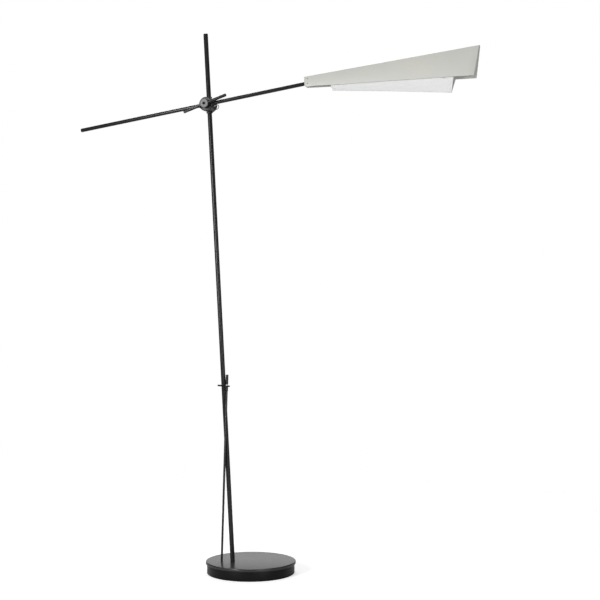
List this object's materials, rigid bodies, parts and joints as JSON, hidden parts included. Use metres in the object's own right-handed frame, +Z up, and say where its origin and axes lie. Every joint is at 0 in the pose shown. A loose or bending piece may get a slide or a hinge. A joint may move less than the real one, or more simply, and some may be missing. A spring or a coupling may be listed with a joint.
{
  "type": "adjustable arm floor lamp",
  "caption": "Floor lamp on a round weighted base: leaning pole, clamp hub with T-bar, and a straight arm that tilts, rolls and slides, carrying a long folded-sheet shade with an opal diffuser.",
  "frame": {"origin": "centre of the floor pad's underside, on the floor", "axes": "+Z up, +X to the side that carries the shade, -Y to the front, where the clamp's T-bar is"},
  "size_m": [1.3142, 0.435, 1.7985],
  "materials": {
    "black_metal": "satin black powder coat",
    "pad_felt": "matt dense felt-faced rubber",
    "cast_weight": "raw cast iron, primed",
    "steel": "zinc-plated steel",
    "brass": "turned brass",
    "aluminium": "extruded aluminium",
    "shade_coat": "satin greige powder coat on sheet aluminium",
    "opal_acrylic": "opal white acrylic, satin",
    "dark_plastic": "black glass-filled nylon",
    "rubber": "matt black rubber",
    "lead_jacket": "grey silicone jacket",
    "board_white": "white solder mask",
    "chip_yellow": "phosphor-coated chip"
  },
  "bodies": {
    "stand": {"floor_pad": "pad_felt", "base_weight": "cast_weight", "base_ring": "black_metal", "base_lid": "black_metal", "lid_screws": "steel", "led_driver": "dark_plastic", "cable_gland": "dark_plastic", "gland_nut": "dark_plastic", "pole": "black_metal", "pole_socket": "steel", "pole_cap": "black_metal", "stem_socket": "steel", "control_stem": "black_metal", "stem_ferrule": "black_metal", "link_plate": "black_metal", "link_screw": "steel", "dimmer_core": "steel"},
    "dimmer_plunger": {"dimmer_plunger": "brass"},
    "dimmer_knob": {"dimmer_knob": "black_metal"},
    "pole_carrier": {"pole_bush": "dark_plastic", "bush_collar": "black_metal"},
    "pole_clamp": {"pole_clamp": "black_metal", "swivel_ring": "black_metal", "ring_screws": "steel", "friction_washer": "dark_plastic", "pole_brake_screw": "steel", "rear_grommet": "rubber", "jumper_lead": "lead_jacket"},
    "arm_clamp": {"arm_clamp": "black_metal", "front_grommet": "rubber"},
    "arm_sleeve": {"arm_bush": "dark_plastic", "arm_bush_collar": "black_metal"},
    "arm": {"arm_tube": "black_metal", "arm_end_cap": "black_metal", "arm_bracket": "aluminium", "shade_shell": "shade_coat", "shade_end_plate": "shade_coat", "shade_screws": "steel", "lamp_rail": "aluminium", "lamp_board": "board_white", "lamp_chips": "chip_yellow", "diffuser": "opal_acrylic", "diffuser_end_narrow": "opal_acrylic", "diffuser_end_wide": "opal_acrylic", "diffuser_clips": "steel"},
    "clamp_pad": {"pressure_pad": "brass"},
    "clamp_knob": {"clamp_screw": "steel", "clamp_knob": "black_metal", "t_bar": "black_metal"}
  },
  "joints": [
    {"name": "height_slide", "type": "slide", "parent": "stand", "child": "pole_carrier", "axis": [-0.0513, 0, 0.9987], "range_m": [-0.7, 0.19]},
    {"name": "hub_swivel", "type": "hinge", "parent": "pole_carrier", "child": "pole_clamp", "pos_m": [-0.13879, 0, 1.56], "axis": [-0.0513, 0, 0.9987], "range_deg": [-170, 170]},
    {"name": "arm_tilt", "type": "hinge", "parent": "pole_clamp", "child": "arm_clamp", "pos_m": [-0.13879, 0, 1.56], "axis": [-0.2588, -0.9658, -0.0133], "range_deg": [-60, 60], "deforming": ["jumper_lead"]},
    {"name": "arm_roll", "type": "hinge", "parent": "arm_clamp", "child": "arm_sleeve", "pos_m": [-0.145, -0.02318, 1.55968], "axis": [0.9534, -0.2576, 0.1569], "range_deg": [-90, 90]},
    {"name": "arm_reach", "type": "slide", "parent": "arm_sleeve", "child": "arm", "axis": [0.9534, -0.2576, 0.1569], "range_m": [-0.2, 0.4]},
    {"name": "clamp_advance", "type": "slide", "parent": "arm_clamp", "child": "clamp_pad", "axis": [-0.2588, -0.9658, -0.0133], "range_m": [0, 0.00125]},
    {"name": "clamp_turn", "type": "hinge", "parent": "clamp_pad", "child": "clamp_knob", "pos_m": [-0.13879, 0, 1.56], "axis": [-0.2588, -0.9658, -0.0133], "range_deg": [0, 362]},
    {"name": "dimmer_press", "type": "slide", "parent": "stand", "child": "dimmer_plunger", "axis": [0.0291, 0, 0.9996], "range_m": [-0.0015, 0], "stiffness_N_per_m": 1200, "springref_m": 0.0004},
    {"name": "dimmer_turn", "type": "hinge", "parent": "dimmer_plunger", "child": "dimmer_knob", "pos_m": [-0.07901, -0.0125, 0.64325], "axis": [0.0291, 0, 0.9996], "range_deg": [0, 270]}
  ],
  "couplings": [
    {"joint": "clamp_turn", "follows": "clamp_advance", "rad_per_m": 5026.5}
  ]
}
